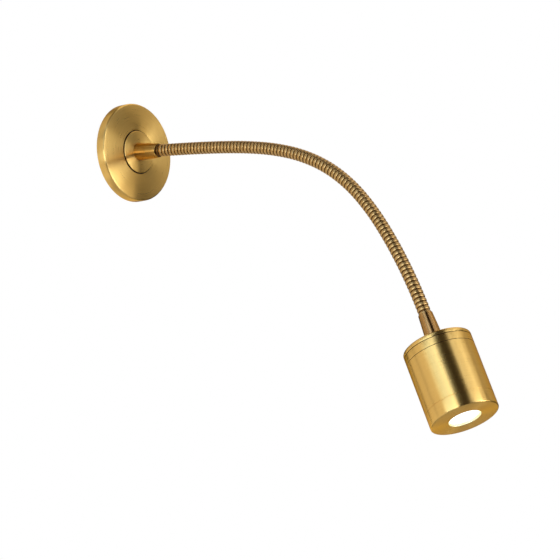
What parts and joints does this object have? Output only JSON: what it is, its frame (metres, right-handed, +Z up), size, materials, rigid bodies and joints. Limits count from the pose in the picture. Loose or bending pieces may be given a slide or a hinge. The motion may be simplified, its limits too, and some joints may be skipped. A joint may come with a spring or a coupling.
{
  "type": "bedside wall reading lamp",
  "caption": "Wall reading lamp: a round brushed-brass wall plate, a thin ribbed gooseneck and a short cylindrical spot head with a small round light in its front face.",
  "frame": {"origin": "middle of the mounting bracket's back, on the wall plane, between the two screw slots", "axes": "+Z up, +Y into the wall (the lamp stands out towards -Y), +X to the right of somebody who looks at the wall"},
  "size_m": [0.08, 0.3576, 0.2925],
  "materials": {
    "brushed_brass": "brushed",
    "neck_brass": "satin",
    "steel": "zinc plated",
    "magnet": "nickel plated",
    "aluminium": "as machined",
    "white_plastic": "moulded",
    "board": "solder mask",
    "part_black": "moulded",
    "silicone": "matt",
    "cable_sheath": "matt",
    "lens": "clear",
    "window": "clear",
    "led_yellow": "phosphor"
  },
  "bodies": {
    "wall_base": {"wall_plate": "brushed_brass", "plate_magnets": "magnet", "mounting_bracket": "steel", "earth_screw": "brushed_brass", "earth_washer": "steel", "neck_boss": "brushed_brass", "boss_screws": "steel", "wall_ferrule": "brushed_brass", "lock_washer": "steel", "lock_nut": "steel", "wall_cord_grip": "steel", "neck_01": "neck_brass", "cable_01": "cable_sheath"},
    "link_02": {"neck_02": "neck_brass", "cable_02": "cable_sheath"},
    "link_03": {"neck_03": "neck_brass", "cable_03": "cable_sheath"},
    "link_04": {"neck_04": "neck_brass", "cable_04": "cable_sheath"},
    "link_05": {"neck_05": "neck_brass", "cable_05": "cable_sheath"},
    "link_06": {"neck_06": "neck_brass", "cable_06": "cable_sheath"},
    "link_07": {"neck_07": "neck_brass", "cable_07": "cable_sheath"},
    "link_08": {"neck_08": "neck_brass", "cable_08": "cable_sheath"},
    "link_09": {"neck_09": "neck_brass", "cable_09": "cable_sheath"},
    "link_10": {"neck_10": "neck_brass", "cable_10": "cable_sheath"},
    "link_11": {"neck_11": "neck_brass", "cable_11": "cable_sheath"},
    "head": {"neck_12": "neck_brass", "cable_12": "cable_sheath", "head_ferrule": "neck_brass", "head_washer": "steel", "head_nut": "steel", "head_cord_grip": "steel", "head_cap": "brushed_brass", "head_barrel": "brushed_brass", "front_bezel": "brushed_brass", "window_glass": "window", "window_gasket": "silicone", "optic_lens": "lens", "lens_holder": "white_plastic", "led_emitter": "led_yellow", "led_board": "aluminium", "thermal_pad": "silicone", "led_screws": "steel", "heat_sink": "aluminium", "led_leads": "cable_sheath", "driver_case": "white_plastic", "driver_lid": "white_plastic", "driver_board": "board", "driver_transformer": "part_black", "driver_capacitor": "part_black", "driver_terminal": "white_plastic"}
  },
  "joints": [
    {"name": "bend_01", "type": "hinge", "parent": "wall_base", "child": "link_02", "pos_m": [0, -0.05665, -0.00422], "axis": [1, 0, 0], "range_deg": [-25, 8]},
    {"name": "swing_02", "type": "hinge", "parent": "link_02", "child": "link_03", "pos_m": [0, -0.08474, -0.00713], "axis": [0, -0.1097, 0.994], "range_deg": [-20, 20]},
    {"name": "bend_03", "type": "hinge", "parent": "link_03", "child": "link_04", "pos_m": [0, -0.11276, -0.01062], "axis": [1, 0, 0], "range_deg": [-25, 8]},
    {"name": "swing_04", "type": "hinge", "parent": "link_04", "child": "link_05", "pos_m": [0, -0.1406, -0.01532], "axis": [0, -0.1959, 0.9806], "range_deg": [-20, 20]},
    {"name": "bend_05", "type": "hinge", "parent": "link_05", "child": "link_06", "pos_m": [0, -0.16795, -0.02232], "axis": [1, 0, 0], "range_deg": [-25, 8]},
    {"name": "swing_06", "type": "hinge", "parent": "link_06", "child": "link_07", "pos_m": [0, -0.19413, -0.03282], "axis": [0, -0.4431, 0.8965], "range_deg": [-20, 20]},
    {"name": "bend_07", "type": "hinge", "parent": "link_07", "child": "link_08", "pos_m": [0, -0.21814, -0.04762], "axis": [1, 0, 0], "range_deg": [-25, 8]},
    {"name": "swing_08", "type": "hinge", "parent": "link_08", "child": "link_09", "pos_m": [0, -0.23908, -0.06651], "axis": [0, -0.7325, 0.6807], "range_deg": [-20, 20]},
    {"name": "bend_09", "type": "hinge", "parent": "link_09", "child": "link_10", "pos_m": [0, -0.25698, -0.08833], "axis": [1, 0, 0], "range_deg": [-25, 8]},
    {"name": "swing_10", "type": "hinge", "parent": "link_10", "child": "link_11", "pos_m": [0, -0.27258, -0.11186], "axis": [0, -0.8545, 0.5195], "range_deg": [-20, 20]},
    {"name": "bend_11", "type": "hinge", "parent": "link_11", "child": "head", "pos_m": [0, -0.28644, -0.13646], "axis": [1, 0, 0], "range_deg": [-25, 8]}
  ]
}
